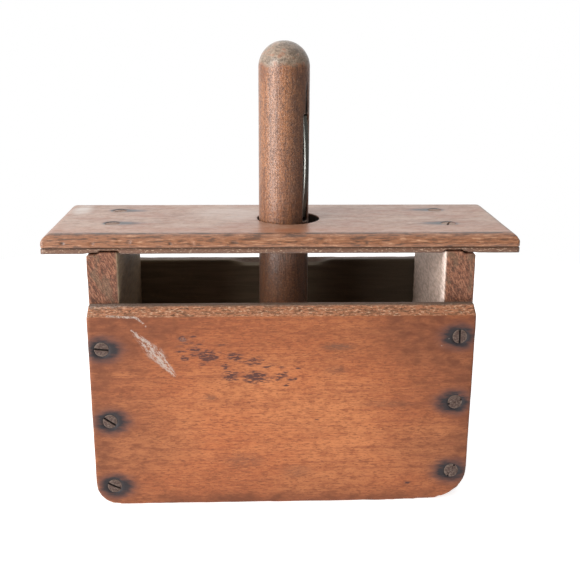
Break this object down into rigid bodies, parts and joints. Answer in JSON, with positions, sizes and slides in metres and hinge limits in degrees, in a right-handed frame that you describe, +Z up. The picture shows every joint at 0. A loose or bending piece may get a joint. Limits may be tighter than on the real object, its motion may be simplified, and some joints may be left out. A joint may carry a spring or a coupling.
{
  "type": "butter mold",
  "caption": "Wooden box-press butter mold: a bottomless box under a moulded top plate, with a round plunger rod and follower board that slide through it to press and push out the block.",
  "frame": {"origin": "on the surface that the box stands on, in the middle of the box", "axes": "+Z up along the plunger's travel, +X along the box's length towards the right-hand end, -Y towards the front"},
  "size_m": [0.2666, 0.1146, 0.2611],
  "materials": {
    "board_wood": "matt, oiled by use",
    "end_grain_wood": "matt, rough sawn edges",
    "plate_wood": "satin, worn smooth",
    "rod_wood": "satin, darkened by hands",
    "follower_wood": "matt, bleached by washing",
    "screw_steel": "dark, oxidised",
    "spring_steel": "dull, rubbed bright on the edges"
  },
  "bodies": {
    "box": {"left_end_board": "end_grain_wood", "right_end_board": "end_grain_wood", "front_panel": "board_wood", "back_panel": "board_wood", "top_plate": "plate_wood", "front_screw_left_low": "screw_steel", "front_screw_left_middle": "screw_steel", "front_screw_left_high": "screw_steel", "front_screw_right_low": "screw_steel", "front_screw_right_middle": "screw_steel", "front_screw_right_high": "screw_steel", "back_screw_left_low": "screw_steel", "back_screw_left_middle": "screw_steel", "back_screw_left_high": "screw_steel", "back_screw_right_low": "screw_steel", "back_screw_right_middle": "screw_steel", "back_screw_right_high": "screw_steel", "plate_screw_left_front": "screw_steel", "plate_screw_left_back": "screw_steel", "plate_screw_right_front": "screw_steel", "plate_screw_right_back": "screw_steel"},
    "plunger": {"plunger_rod": "rod_wood", "follower_board": "follower_wood", "bow_spring": "spring_steel", "follower_screw": "screw_steel"}
  },
  "joints": [
    {"name": "plunger_slide", "type": "slide", "parent": "box", "child": "plunger", "axis": [0, 0, 1], "range_m": [-0.058, 0.0755]}
  ]
}
